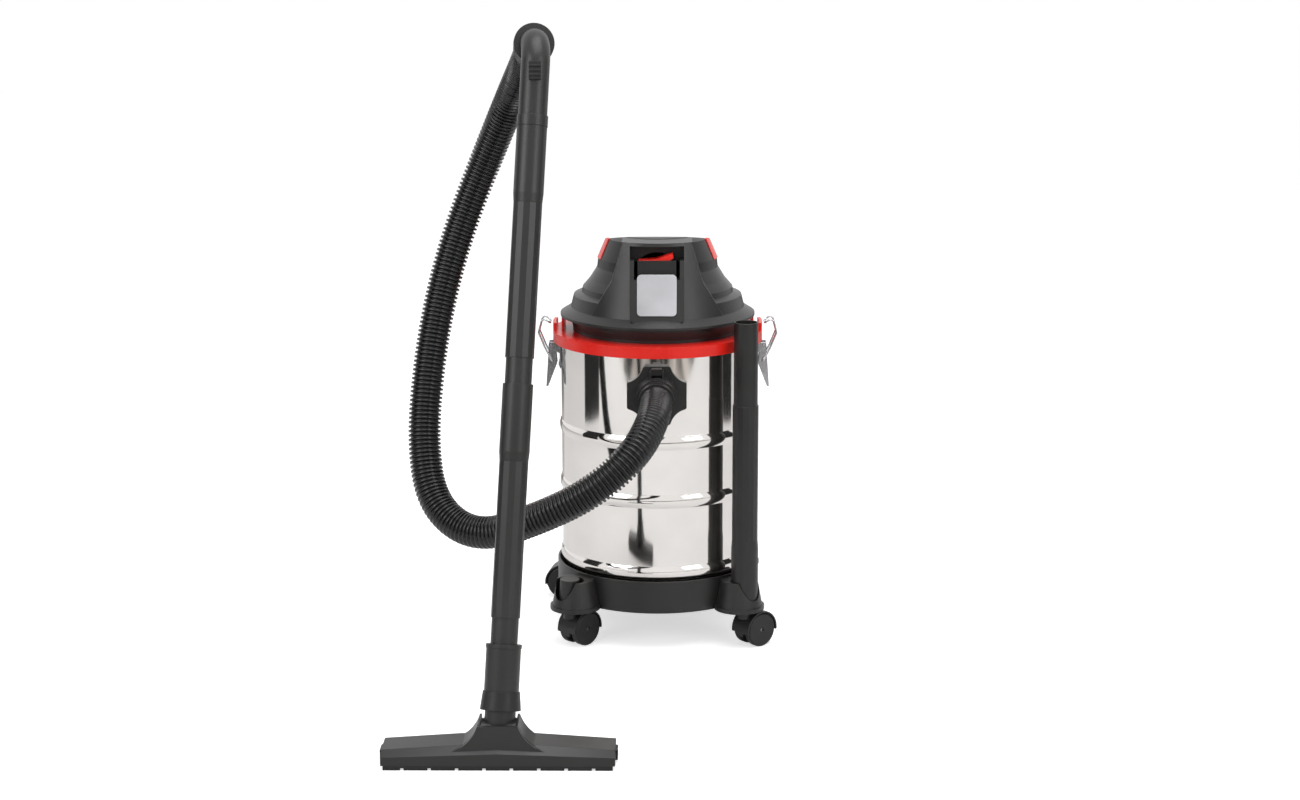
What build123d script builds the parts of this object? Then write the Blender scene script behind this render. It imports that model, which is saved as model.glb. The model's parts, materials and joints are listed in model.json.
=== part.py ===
"""Wet and dry shop vacuum: steel drum on a caster base, motor head, ribbed hose, wand and floor nozzle.

Millimetres. The origin is on the floor under the drum's axis: +X to the right of the inlet,
+Y to the back and +Z up.
"""

import os
from math import cos, radians, sin, tan

from build123d import *

# Fits
running_clearance = 0.08
slip_clearance = 0.3
fit_clearance = 0.05

# Drum
drum_radius = 144.0
drum_wall = 1.0
drum_seat_height = 88.0
drum_top_height = 447.0
drum_corner_radius = 8.0
drum_curl = 3.0
drum_curl_height = 4.0
bead_rise = 3.0
bead_length = 20.0
bead_heights = (106.0, 214.0, 301.0)

# Base
base_rim_radius = 151.5
base_rim_height = 104.5
base_bottom_height = 57.0
base_wall = 3.0
base_floor_thickness = 4.0
foot_reach = 121.0
foot_radius = 37.0
foot_thickness = 6.0
boss_low_radius = 34.0
boss_top_radius = 27.0
boss_top_height = 101.0
corner_reach = 128.5
peg_height = 40.0
peg_taper = 3.0
peg_groove_gap = 1.5

# Casters
wheel_radius = 25.0
wheel_width = 12.0
wheel_round = 2.5
caster_web = 11.0
wheel_side_gap = 0.5
caster_trail = 20.0
hood_gap = 1.2
hood_wall = 2.3
hood_skirt = 3.0
web_skirt = 9.0
stem_radius = 5.5
stem_depth = 34.0
stem_boss_radius = 10.0
stem_boss_height = 13.0
axle_radius = 3.0
caster_headings = {
    "front_left": (-1, -1, 48.0),
    "front_right": (1, -1, 40.0),
    "rear_left": (-1, 1, 172.0),
    "rear_right": (1, 1, 250.0),
}

# Tubes of the wand
tube_length = 424.0
tube_insertion = 88.0
tube_bore_radius = 15.9
spigot_radius = 17.5
spigot_length = 122.0
tube_body_radius = 18.8
tube_flats = 14
socket_radius = 19.8
socket_length = 100.0
socket_taper_length = 12.0

# Wand: the pivot in the nozzle and the way it leans, seen from the inlet side
pivot_x = -199.6
pivot_y = -606.0
pivot_height = 36.0
wand_lean_back = 15.0
wand_lean_right = 3.0
sleeve_mouth = 116.4

# Floor nozzle
nozzle_width = 300.0
nozzle_front = 34.0
nozzle_back = 30.0
nozzle_base_height = 6.0
nozzle_end_front_height = 17.0
nozzle_end_top_height = 23.0
nozzle_middle_front_height = 22.0
nozzle_middle_top_height = 33.0
nozzle_front_slope = 14.0
nozzle_back_slope = 6.0
nozzle_channel_length = 280.0
nozzle_channel_width = 38.0
nozzle_channel_top = 15.0
cheek_width = 42.0
cheek_top_width = 3.0
cheek_height = 57.0
cheek_depth = 44.0
cheek_sweep_radius = 50.4
barrel_radius = 22.0
barrel_length = 45.0
barrel_side_gap = 0.5
throat_gap = 2.0
front_wall = 5.0
pin_radius = 8.0
pin_length = 8.0
pin_root = 2.0
neck_radius = 20.0
neck_length = 46.0
collar_start = 32.0
collar_low_radius = 26.5
collar_top_radius = 24.0
collar_lap = 10.0
sleeve_radius = 22.5
sleeve_rim = 0.8
sleeve_rim_length = 5.0
insert_plate = 3.0
lip_thickness = 3.5
lip_notches = 8
lip_notch_width = 4.5
lip_notch_pitch = 35.0
clip_width = 22.0
clip_height = 13.0
clip_thickness = 3.0

# Handle, air slider and hose cuff
handle_radius = 19.0
handle_spigot = 60.0
handle_collar_radius = 20.4
handle_collar_length = 14.0
handle_bend_radius = 32.0
handle_straight = 83.0
handle_turn = 45.0
handle_yaw = 14.0
handle_end = 34.0
slider_length = 24.0
slider_width = 16.0
slider_thickness = 3.0
slider_place = 70.0
slider_ridge = 1.2
air_hole_radius = 4.0
cuff_radius = 27.0
cuff_length = 50.0
cuff_rim = 2.0

# Inlet on the drum's front
inlet_drop = 63.0
inlet_height = drum_top_height - inlet_drop
inlet_flats = 86.0
inlet_plate_thickness = 9.0
scallop_radius = 30.0
scallop_depth = 4.0
collar_radius = 30.0
collar_reach = 21.0
inlet_bore_radius = 23.2
stub_radius = 25.5
stub_inside = 26.0
drum_hole_gap = 0.4
button_width = 15.0
button_height = 9.0
button_depth = 12.0
button_travel = 3.0
button_wall = 2.5
button_setback = 4.0
deflector_radius = 33.0
deflector_wall = 3.0
deflector_ring = 10.0
deflector_reach = 26.0
connector_flange_radius = 29.0
connector_flange = 8.0
connector_socket_radius = 26.0
connector_socket = 14.0
connector_bore_radius = 18.0

# Hose: rib crest, rib root and bore
hose_radius = 23.0
hose_root_radius = 20.6
hose_bore_radius = 17.8
hose_ribs = 180
hose_cuff_gap = 0.3
hose_end_run = 70.0
arc_share = 0.45

# Latches at the drum's sides
latch_pivot_reach = 14.0
latch_pivot_drop = 17.0
latch_pivot_height = drum_top_height - latch_pivot_drop
latch_pin_radius = 2.0
bracket_plate = 2.0
bracket_width = 30.0
bracket_below_pivot = 34.0
bracket_above_pivot = 7.0
bracket_low_height = latch_pivot_height - bracket_below_pivot
bracket_top_height = latch_pivot_height + bracket_above_pivot
ear_thickness = 1.5
ear_gap = 0.5
ear_margin = 4.0
lever_half_width = 9.5
lever_shoulder = 5.0
lever_knee = 6.0
lever_belly = 7.0
lever_sheet = 1.5
lever_length = 62.0
lever_tail_height = latch_pivot_height - lever_length
lever_tail_reach = 21.0
bail_wire_radius = 1.5
bail_pivot_drop = 23.0
bail_pivot_height = latch_pivot_height - bail_pivot_drop
bail_pivot_reach = 13.0
bail_side_gap = 0.5
bail_bow = ((24.0, -19.0), (33.0, 3.0), (27.0, 26.0), (15.6, 18.0))
rivet_radius = 2.0
rivet_head_radius = 3.6
rivet_head = 1.6
rivet_spread = 10.0
rivet_rise = 6.0
rivet_height = bracket_low_height + rivet_rise

# Red ring, gasket and lugs
ring_radius = 155.7
ring_depth = 16.5
ring_web_thickness = 4.7
ring_skirt = 5.0
ring_web_inner = 118.0
gasket_thickness = 3.0
web_low = drum_top_height + slip_clearance + gasket_thickness
ring_top_height = web_low + ring_web_thickness
ring_low_height = ring_top_height - ring_depth
gasket_width = 6.0
lug_sweep = 18.0
lug_outer_wall = 4.6
lug_outer_height = 12.0
lug_inner_wall = 3.5
lug_inner_height = 18.0
lug_groove = 8.0

# Head base
skirt_low_radius = 126.0
skirt_top_radius = 129.0
skirt_wall = 3.5
skirt_height = 22.0
skirt_top_height = ring_top_height + skirt_height
skirt_step = 4.0
skirt_land = 5.0
skirt_slope_top = skirt_top_height - skirt_land
head_floor_rise = 2.0
head_floor_low = ring_top_height + head_floor_rise
head_floor_thickness = 4.0
intake_radius = 20.0
panel_angles = (-33.0, 33.0)
panel_width = 40.0
panel_height = 12.0
panel_depth = 1.2

# Head cover: radius and height of each tier
brim_radius = 144.5
brim_thickness = 3.5
brim_edge_height = skirt_top_height + brim_thickness
cover_form = (
    (129.0, 13.0),
    (124.5, 30.5),
    (112.5, 35.0),
    (111.0, 42.5),
    (100.5, 54.5),
    (89.5, 72.0),
    (88.0, 85.5),
    (75.0, 115.0),
    (58.0, 121.0),
)
cover_tiers = [(radius, skirt_top_height + rise) for radius, rise in cover_form]
deck_rise = 124.0
deck_height = skirt_top_height + deck_rise
deck_break = 45.0
deck_drop = 2.0
deck_slope = 13.0
cover_wall = 3.0
tower_form = ((51.0, 120.0), (51.0, 114.0), (66.0, 63.0), (83.0, 35.0), (98.0, 9.0))
tower_outline = [(half_width, skirt_top_height + rise) for half_width, rise in tower_form]
tower_low_radius = 131.0
tower_top_radius = 100.0
panel_half_width = 39.0
front_panel_length = 104.0
front_panel_proud = 0.6
front_panel_depth = 16.0
front_panel_rise = 59.0
front_panel_height = skirt_top_height + front_panel_rise
front_panel_corner = 8.0
badge_width = 57.0
badge_height = 60.0
badge_thickness = 1.5
badge_corner = 6.0
badge_drop = 12.0
grip_sweep = 50.0
grip_turn = 6.0
grip_depth = 2.5
grip_proud = 1.0
exhaust_rise = 48.0
exhaust_height = skirt_top_height + exhaust_rise
exhaust_bore_radius = 17.8
exhaust_wall = 4.0
exhaust_inside = 90.0
exhaust_reach = 138.0
gland_side = 62.0
gland_rise = 21.0
gland_height = skirt_top_height + gland_rise
gland_radius = 8.0
gland_bore_radius = 3.5
gland_inside = 102.0
gland_reach = 124.0

# Switch
switch_half_width = 28.0
switch_slot = 5.0
switch_low_rise = 69.0
switch_low = skirt_top_height + switch_low_rise
switch_top_rise = 96.0
switch_top = skirt_top_height + switch_top_rise
switch_front = 107.0
switch_back = 81.0
switch_wall = 2.2
switch_pocket = 14.0
niche_top_rise = 115.0
niche_top = skirt_top_height + niche_top_rise
niche_back = 76.0
rocker_half_width = 25.0
rocker_end_height = 9.0
rocker_middle_height = 5.5
rocker_belly = 7.0
rocker_shoulder = 2.0
rocker_rest = 12.0
rocker_pin_radius = 2.0
rocker_pivot_drop = 4.0

# Motor and fan
fan_radius = 62.0
fan_wall = 1.5
fan_height = 38.0
bearing_radius = 11.0
bearing_height = 7.0
bearing_seat_wall = 3.0
impeller_radius = 56.0
impeller_low_gap = 6.0
impeller_height = 22.0
impeller_plate = 1.5
impeller_blades = 8
impeller_hub_radius = 9.0
shaft_radius = 4.0
shaft_gap = 2.0
frame_radius = 48.0
frame_wall = 2.8
frame_height = 60.0
frame_top = 8.0
stator_inner_radius = 24.0
stator_low_gap = 9.0
stator_height = 30.0
armature_radius = 23.0
armature_neck_radius = 9.0
commutator_radius = 12.0
commutator_height = 10.0
brush_size = 6.0
brush_gap = 0.2

# Filter cage, float and filter
cage_radius = 62.0
cage_wall = 2.0
cage_length = 124.0
cage_flange_radius = 66.0
cage_plate = 3.0
cage_windows = 8
cage_window_width = 26.0
cage_window_margin = 14.0
guide_thickness = 2.0
float_radius = 34.0
float_height = 42.0
float_wall = 2.0
float_rest_gap = 0.3
sleeve_thickness = 6.0
sleeve_gap = 0.3
sleeve_length = 116.0
screw_radius = 2.0
screw_head_radius = 3.8
screw_head = 2.4
screw_circle = 50.0

os.makedirs("parts", exist_ok=True)

upright = (Align.CENTER, Align.CENTER, Align.MIN)


def save(builder, name):
    """Write one finished piece under its own name."""
    builder.part.label = name
    export_step(builder.part, f"parts/{name}.step")


# Base
base_inner_radius = base_rim_radius - base_wall
base_floor_low = drum_seat_height - base_floor_thickness
foot_top = base_bottom_height + foot_thickness
peg_radius = spigot_radius + fit_clearance - slip_clearance

with BuildPart() as base:
    with BuildSketch(Plane.XZ):
        with BuildLine():
            Polyline(
                (0, base_floor_low),
                (base_inner_radius, base_floor_low),
                (base_inner_radius, base_bottom_height),
                (base_rim_radius, base_bottom_height),
                (base_rim_radius, base_rim_height),
                (base_inner_radius, base_rim_height),
                (base_inner_radius, drum_seat_height),
                (0, drum_seat_height),
                close=True,
            )
        make_face()
    revolve(axis=Axis.Z)
    with Locations((0, 0, base_bottom_height)):
        with GridLocations(2 * foot_reach, 2 * foot_reach, 2, 2):
            Cylinder(foot_radius, foot_thickness, align=upright)
    with Locations((0, 0, foot_top)):
        with GridLocations(2 * foot_reach, 2 * foot_reach, 2, 2):
            Cone(boss_low_radius, boss_top_radius, boss_top_height - foot_top, align=upright)
    with Locations((0, 0, drum_seat_height)):
        Cylinder(base_inner_radius, boss_top_height, align=upright, mode=Mode.SUBTRACT)
    with Locations((0, 0, foot_top)):
        with GridLocations(2 * corner_reach, 2 * corner_reach, 2, 2):
            Cylinder(socket_radius + peg_groove_gap, boss_top_height, align=upright, mode=Mode.SUBTRACT)
            Cone(peg_radius, peg_radius - peg_taper, peg_height, align=upright)
    with Locations((0, 0, base_bottom_height)):
        with GridLocations(2 * corner_reach, 2 * corner_reach, 2, 2):
            Cylinder(stem_radius + running_clearance, stem_depth, align=upright, mode=Mode.SUBTRACT)
save(base, "base")

# Casters: the wheels run in the housing's plane, trailing behind the stem
wheel_offset = caster_web / 2 + wheel_side_gap
hood_inner_radius = wheel_radius + hood_gap
hood_radius = hood_inner_radius + hood_wall
hood_half_width = wheel_offset + wheel_width
stem_low = base_bottom_height - slip_clearance - stem_boss_height


def half_disc(radius, skirt):
    """A disc cut off level, a little below its centre."""
    Circle(radius)
    with Locations((0, -skirt)):
        Rectangle(3 * radius, 2 * radius, align=(Align.CENTER, Align.MAX), mode=Mode.SUBTRACT)


def build_caster(name, side_x, side_y, heading):
    """One twin-wheel caster under a foot, turned to its heading."""
    stem = Vector(side_x * corner_reach, side_y * corner_reach, stem_low)
    trail = Vector(cos(radians(heading)), sin(radians(heading)), 0)
    axle = Vector(trail.Y, -trail.X, 0)
    hub = Vector(stem.X, stem.Y, wheel_radius) + trail * caster_trail
    side = Plane(origin=hub, x_dir=trail, z_dir=axle)

    with BuildPart() as housing:
        with BuildSketch(side):
            half_disc(hood_radius, hood_skirt)
        extrude(amount=hood_half_width, both=True)
        with BuildSketch(side):
            half_disc(hood_radius, web_skirt)
        extrude(amount=caster_web / 2, both=True)
        with Locations(stem):
            Cylinder(stem_boss_radius, stem_boss_height, align=upright)
        for face_plane in (side.offset(caster_web / 2), Plane(hub - axle * caster_web / 2, trail, -axle)):
            with BuildSketch(face_plane):
                Circle(hood_inner_radius)
            extrude(amount=hood_half_width, mode=Mode.SUBTRACT)
        with BuildSketch(side):
            Circle(axle_radius)
        extrude(amount=caster_web, both=True, mode=Mode.SUBTRACT)
        with Locations(stem):
            Cylinder(stem_radius, stem_boss_height, align=upright, mode=Mode.SUBTRACT)
    save(housing, f"caster_{name}_housing")

    with BuildPart() as pins:
        with Locations(stem):
            Cylinder(stem_radius, stem_boss_height + stem_depth - slip_clearance, align=upright)
        with BuildSketch(side):
            Circle(axle_radius)
        extrude(amount=hood_half_width - wheel_round, both=True)
    save(pins, f"caster_{name}_pins")

    with BuildPart() as wheels:
        for face_plane in (side.offset(wheel_offset), Plane(hub - axle * wheel_offset, trail, -axle)):
            with BuildSketch(face_plane):
                Circle(wheel_radius)
                Circle(axle_radius + running_clearance, mode=Mode.SUBTRACT)
            extrude(amount=wheel_width)
        round_edges = wheels.edges().filter_by(GeomType.CIRCLE)
        fillet(round_edges.filter_by(lambda edge: edge.radius > axle_radius * 2), wheel_round)
    save(wheels, f"caster_{name}_wheels")


for caster_name, (side_x, side_y, heading) in caster_headings.items():
    build_caster(caster_name, side_x, side_y, heading)

# Drum
inlet_hole_radius = stub_radius + drum_hole_gap


def drum_profile(inset):
    """Half section of the drum, drawn inside its outer face by the inset."""
    radius = drum_radius - inset
    low = drum_seat_height + inset
    corner = drum_corner_radius - inset
    with BuildLine() as outline:
        Line((0, low), (radius - corner, low))
        CenterArc((radius - corner, low + corner), corner, -90, 90)
        height = low + corner
        for bead in bead_heights:
            crest = (radius + bead_rise, bead + bead_length / 2)
            Line((radius, height), (radius, bead))
            ThreePointArc((radius, bead), crest, (radius, bead + bead_length))
            height = bead + bead_length
        Polyline((radius, height), (radius, drum_top_height), (0, drum_top_height), (0, low))
    make_face(outline.edges())


with BuildPart() as drum:
    with BuildSketch(Plane.XZ):
        drum_profile(0)
    revolve(axis=Axis.Z)
    with Locations((0, 0, drum_top_height - drum_curl_height)):
        Cylinder(drum_radius + drum_curl, drum_curl_height, align=upright)
    with BuildSketch(Plane.XZ):
        drum_profile(drum_wall)
    revolve(axis=Axis.Z, mode=Mode.SUBTRACT)
    with BuildSketch(Plane.XZ):
        with Locations((0, inlet_height)):
            Circle(inlet_hole_radius)
    extrude(amount=drum_radius + bead_rise, mode=Mode.SUBTRACT)
    with BuildSketch(Plane.YZ):
        with Locations((-rivet_spread, rivet_height), (rivet_spread, rivet_height)):
            Circle(rivet_radius + fit_clearance)
    extrude(amount=drum_radius + bead_rise, both=True, mode=Mode.SUBTRACT)
save(drum, "drum")

# Inlet: flange, release button, deflector and the hose's connector
plate_front = drum_radius + inlet_plate_thickness
collar_front = plate_front + collar_reach
inlet_axis = Plane(origin=(0, 0, inlet_height), x_dir=(1, 0, 0), z_dir=(0, -1, 0))
scallop_reach = inlet_flats / 2 + scallop_radius - scallop_depth
octagon_radius = inlet_flats / 2 / cos(radians(22.5))
button_low = collar_radius + button_travel + slip_clearance
button_front = collar_front - button_setback
button_side = button_width / 2 + slip_clearance

with BuildPart() as inlet_flange:
    with BuildSketch(inlet_axis):
        RegularPolygon(octagon_radius, 8, rotation=22.5)
        with PolarLocations(scallop_reach, 4, start_angle=45):
            Circle(scallop_radius, mode=Mode.SUBTRACT)
    extrude(amount=plate_front)
    Cylinder(drum_radius + fit_clearance, 3 * inlet_height, mode=Mode.SUBTRACT)
    with BuildSketch(inlet_axis.offset(drum_radius - stub_inside)):
        Circle(stub_radius)
    extrude(amount=stub_inside + fit_clearance + inlet_plate_thickness / 2)
    with BuildSketch(inlet_axis.offset(plate_front)):
        Circle(collar_radius)
    extrude(amount=collar_reach)
    with BuildSketch(inlet_axis.offset(plate_front)):
        for side in (-1, 1):
            with Locations((side * (button_side + button_wall / 2), collar_radius / 2)):
                Rectangle(button_wall, collar_radius / 2 + button_height, align=(Align.CENTER, Align.MIN))
    extrude(amount=collar_reach - button_setback)
    with BuildSketch(inlet_axis):
        Circle(inlet_bore_radius)
    extrude(amount=collar_front, mode=Mode.SUBTRACT)
save(inlet_flange, "inlet_flange")

with BuildPart() as inlet_button:
    with BuildSketch(inlet_axis.offset(button_front - button_depth)):
        with Locations((0, button_low)):
            Rectangle(button_width, button_height, align=(Align.CENTER, Align.MIN))
    extrude(amount=button_depth)
save(inlet_button, "inlet_button")

deflector_front = drum_radius - drum_wall - deflector_radius**2 / drum_radius / 2 - slip_clearance
deflector_back = deflector_front - deflector_ring

with BuildPart() as inlet_deflector:
    with BuildSketch(inlet_axis.offset(deflector_back)):
        Circle(deflector_radius)
        Circle(stub_radius + fit_clearance, mode=Mode.SUBTRACT)
    extrude(amount=deflector_ring)
    with BuildSketch(inlet_axis.offset(deflector_back)):
        half_disc(deflector_radius, 0)
    extrude(amount=-deflector_reach)
    with BuildSketch(inlet_axis.offset(deflector_back)):
        Circle(deflector_radius - deflector_wall)
    extrude(amount=deflector_wall - deflector_reach, mode=Mode.SUBTRACT)
save(inlet_deflector, "inlet_deflector")

connector_face = collar_front + connector_flange + connector_socket

with BuildPart() as hose_connector:
    with BuildSketch(inlet_axis.offset(drum_radius - stub_inside)):
        Circle(inlet_bore_radius - fit_clearance)
    extrude(amount=collar_front - drum_radius + stub_inside)
    with BuildSketch(inlet_axis.offset(collar_front)):
        Circle(connector_flange_radius)
    extrude(amount=connector_flange)
    with BuildSketch(inlet_axis.offset(collar_front + connector_flange)):
        Circle(connector_socket_radius)
    extrude(amount=connector_socket)
    with BuildSketch(inlet_axis):
        Circle(connector_bore_radius)
    extrude(amount=connector_face, mode=Mode.SUBTRACT)
save(hose_connector, "hose_connector")

# Latches: each side is drawn as radius and height, with the bail kept outside the ring
latch_pivot_radius = drum_radius + latch_pivot_reach
bail_pivot_radius = drum_radius + bail_pivot_reach
ear_inside = lever_half_width + ear_gap
tail_radius = drum_radius + lever_tail_reach
bracket_face = drum_radius + fit_clearance + bracket_plate
bail_side = ear_inside + ear_thickness + bail_side_gap + bail_wire_radius


def build_latch(name, side):
    """Bracket, lever and bail of one latch on the drum's side."""
    profile = Plane(origin=(0, 0, 0), x_dir=(side, 0, 0), z_dir=(0, -side, 0))
    pivot = (latch_pivot_radius, latch_pivot_height)
    bail_pivot = (bail_pivot_radius, bail_pivot_height)

    with BuildPart() as bracket:
        with BuildSketch(profile):
            with BuildLine():
                Polyline(
                    (bracket_face - bracket_plate, bracket_low_height),
                    (bracket_face, bracket_low_height),
                    (bracket_face, bracket_top_height),
                    (bracket_face - bracket_plate, bracket_top_height),
                    close=True,
                )
            make_face()
        extrude(amount=bracket_width / 2, both=True)
        for ear_plane in (profile.offset(ear_inside), profile.offset(-ear_inside - ear_thickness)):
            with BuildSketch(ear_plane):
                with BuildLine():
                    Polyline(
                        (bracket_face - bracket_plate / 2, latch_pivot_height - 3 * ear_margin),
                        (latch_pivot_radius + ear_margin, latch_pivot_height - ear_margin),
                        (latch_pivot_radius + ear_margin, latch_pivot_height + ear_margin),
                        (bracket_face - bracket_plate / 2, bracket_top_height),
                        close=True,
                    )
                make_face()
            extrude(amount=ear_thickness)
        with BuildSketch(profile):
            with Locations(pivot):
                Circle(latch_pin_radius)
        extrude(amount=bracket_width, both=True, mode=Mode.SUBTRACT)
        with BuildSketch(Plane.YZ):
            with Locations((-rivet_spread, rivet_height), (rivet_spread, rivet_height)):
                Circle(rivet_radius)
        extrude(amount=2 * drum_radius, both=True, mode=Mode.SUBTRACT)
    save(bracket, f"latch_{name}_bracket")

    with BuildPart() as lever:
        for flange_start in (lever_half_width - lever_sheet, -lever_half_width):
            with BuildSketch(profile.offset(flange_start)):
                with BuildLine():
                    Polyline(
                        (latch_pivot_radius - lever_shoulder, latch_pivot_height + lever_shoulder),
                        (latch_pivot_radius + ear_margin, latch_pivot_height + lever_shoulder),
                        (latch_pivot_radius + lever_knee, bail_pivot_height - ear_margin),
                        (tail_radius + lever_sheet, lever_tail_height),
                        (tail_radius - lever_sheet, lever_tail_height),
                        (bail_pivot_radius - lever_belly, bail_pivot_height - ear_margin),
                        close=True,
                    )
                make_face()
            extrude(amount=lever_sheet)
        with BuildSketch(profile):
            with BuildLine():
                Polyline(
                    (latch_pivot_radius + ear_margin, latch_pivot_height),
                    (latch_pivot_radius + lever_knee, bail_pivot_height - ear_margin),
                    (tail_radius + lever_sheet, lever_tail_height),
                    (tail_radius, lever_tail_height),
                    (latch_pivot_radius + lever_knee - lever_sheet, bail_pivot_height - ear_margin),
                    (latch_pivot_radius + ear_margin - lever_sheet, latch_pivot_height),
                    close=True,
                )
            make_face()
        extrude(amount=lever_half_width, both=True)
        with BuildSketch(profile):
            with Locations(pivot):
                Circle(latch_pin_radius + running_clearance)
            with Locations(bail_pivot):
                Circle(bail_wire_radius + running_clearance)
        extrude(amount=lever_half_width, both=True, mode=Mode.SUBTRACT)
    save(lever, f"latch_{name}_lever")

    bow = [bail_pivot] + [(drum_radius + reach, drum_top_height + rise) for reach, rise in bail_bow]
    near = [Vector(side * radius, -bail_side, height) for radius, height in bow]
    far = [Vector(side * radius, bail_side, height) for radius, height in reversed(bow)]
    inward = Vector(0, bail_side - lever_half_width + 2 * lever_sheet, 0)
    wire_points = [near[0] + inward] + near + far + [far[-1] - inward]
    bends = [2 * bail_wire_radius] + [3 * bail_wire_radius] * (2 * len(bow) - 2) + [2 * bail_wire_radius]
    with BuildPart() as bail:
        with BuildLine():
            FilletPolyline(*wire_points, radius=bends)
        with BuildSketch(Plane(origin=wire_points[0], z_dir=-inward)):
            Circle(bail_wire_radius)
        sweep()
    save(bail, f"latch_{name}_bail")


build_latch("left", -1)
build_latch("right", 1)

rivet_edge = rivet_spread + rivet_head_radius

with BuildPart() as latch_rivets:
    for side in (-1, 1):
        outward = Plane(origin=(0, 0, 0), x_dir=(0, side, 0), z_dir=(side, 0, 0))
        inside_face = drum_radius - drum_wall - rivet_edge**2 / drum_radius
        for start, radius, length in (
            (inside_face - rivet_head, rivet_head_radius, rivet_head),
            (inside_face, rivet_radius, bracket_face - inside_face),
            (bracket_face, rivet_head_radius, rivet_head),
        ):
            with BuildSketch(outward.offset(start)):
                with Locations((-rivet_spread, rivet_height), (rivet_spread, rivet_height)):
                    Circle(radius)
            extrude(amount=length)
        with BuildSketch(Plane.XZ):
            with Locations((side * latch_pivot_radius, latch_pivot_height)):
                Circle(latch_pin_radius)
        extrude(amount=ear_inside + 2 * ear_thickness, both=True)
save(latch_rivets, "latch_rivets")

# Wand: every piece stands on its axis, measured from the pivot
pivot_point = Vector(pivot_x, pivot_y, pivot_height)
wand_way = Vector(tan(radians(wand_lean_right)), tan(radians(wand_lean_back)), 1).normalized()


def wand_plane(distance):
    """A plane square to the wand, at a distance from the pivot."""
    return Plane(origin=pivot_point + wand_way * distance, x_dir=(1, 0, 0), z_dir=wand_way)


def build_tube(name, plane):
    """A wand tube from its spigot end to its socket's mouth."""
    body_end = tube_length - socket_length
    with BuildPart(plane) as tube:
        Cylinder(spigot_radius, spigot_length, align=upright)
        with BuildSketch(plane.offset(spigot_length)):
            RegularPolygon(tube_body_radius, tube_flats)
        extrude(amount=body_end - spigot_length)
        with Locations((0, 0, body_end)):
            Cone(tube_body_radius, socket_radius, socket_taper_length, align=upright)
        with Locations((0, 0, body_end + socket_taper_length)):
            Cylinder(socket_radius, socket_length - socket_taper_length, align=upright)
        Cylinder(tube_bore_radius, tube_length, align=upright, mode=Mode.SUBTRACT)
        with Locations((0, 0, tube_length - tube_insertion - slip_clearance)):
            Cylinder(
                spigot_radius + fit_clearance,
                tube_insertion + slip_clearance,
                align=upright,
                mode=Mode.SUBTRACT,
            )
    save(tube, name)


lower_mouth = sleeve_mouth - tube_insertion + tube_length
upper_mouth = lower_mouth - tube_insertion + tube_length
build_tube("lower_tube", wand_plane(sleeve_mouth - tube_insertion))
build_tube("upper_tube", wand_plane(lower_mouth - tube_insertion))
spare_top = Vector(corner_reach, -corner_reach, foot_top + slip_clearance + tube_length)
build_tube("spare_tube", Plane(origin=spare_top, x_dir=(1, 0, 0), z_dir=(0, 0, -1)))

# Nozzle elbow, collar and sleeve
pivot_axis = Plane(origin=pivot_point, x_dir=(0, 1, 0), z_dir=(1, 0, 0))
cheek_inside = barrel_length / 2 + barrel_side_gap

with BuildPart() as nozzle_elbow:
    with BuildSketch(pivot_axis):
        Circle(barrel_radius)
    extrude(amount=barrel_length / 2, both=True)
    with BuildSketch(wand_plane(0)):
        Circle(neck_radius)
    extrude(amount=neck_length)
    with BuildSketch(wand_plane(sleeve_mouth - tube_insertion - slip_clearance)):
        Circle(spigot_radius + fit_clearance)
    extrude(amount=neck_length, mode=Mode.SUBTRACT)
    with BuildSketch(wand_plane(0)):
        Circle(tube_bore_radius)
    extrude(amount=neck_length, both=True, mode=Mode.SUBTRACT)
    for outward in (1, -1):
        pin_axis = Plane(pivot_point, x_dir=(0, 1, 0), z_dir=(outward, 0, 0))
        with BuildSketch(pin_axis.offset(tube_bore_radius + pin_root)):
            Circle(pin_radius)
        extrude(amount=cheek_inside - tube_bore_radius - pin_root + pin_length)
save(nozzle_elbow, "nozzle_elbow")

collar_length = neck_length - collar_start + collar_lap

with BuildPart(wand_plane(collar_start)) as nozzle_collar:
    Cone(collar_low_radius, collar_top_radius, collar_length, align=upright)
    Cylinder(neck_radius + fit_clearance, collar_length, align=upright, mode=Mode.SUBTRACT)
    with Locations((0, 0, neck_length - collar_start)):
        Cylinder(sleeve_radius + fit_clearance, collar_lap, align=upright, mode=Mode.SUBTRACT)
save(nozzle_collar, "nozzle_collar")

sleeve_length_on_wand = sleeve_mouth - neck_length

with BuildPart(wand_plane(neck_length)) as nozzle_sleeve:
    Cylinder(sleeve_radius, sleeve_length_on_wand, align=upright)
    with Locations((0, 0, sleeve_length_on_wand - sleeve_rim_length)):
        Cylinder(sleeve_radius + sleeve_rim, sleeve_rim_length, align=upright)
    Cylinder(spigot_radius + fit_clearance, sleeve_length_on_wand, align=upright, mode=Mode.SUBTRACT)
save(nozzle_sleeve, "nozzle_sleeve")

# Nozzle body: two wings that fall away to the ends, and cheeks that hold the elbow
throat_half = barrel_radius + throat_gap


def wing_section(front_height, top_height):
    """Cross section of a wing, front to back."""
    with BuildLine() as outline:
        Polyline(
            (pivot_y - nozzle_front, nozzle_base_height),
            (pivot_y - nozzle_front, front_height),
            (pivot_y - nozzle_front + nozzle_front_slope, top_height),
            (pivot_y + nozzle_back - nozzle_back_slope, top_height),
            (pivot_y + nozzle_back, front_height),
            (pivot_y + nozzle_back, nozzle_base_height),
            close=True,
        )
    make_face(outline.edges())


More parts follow.
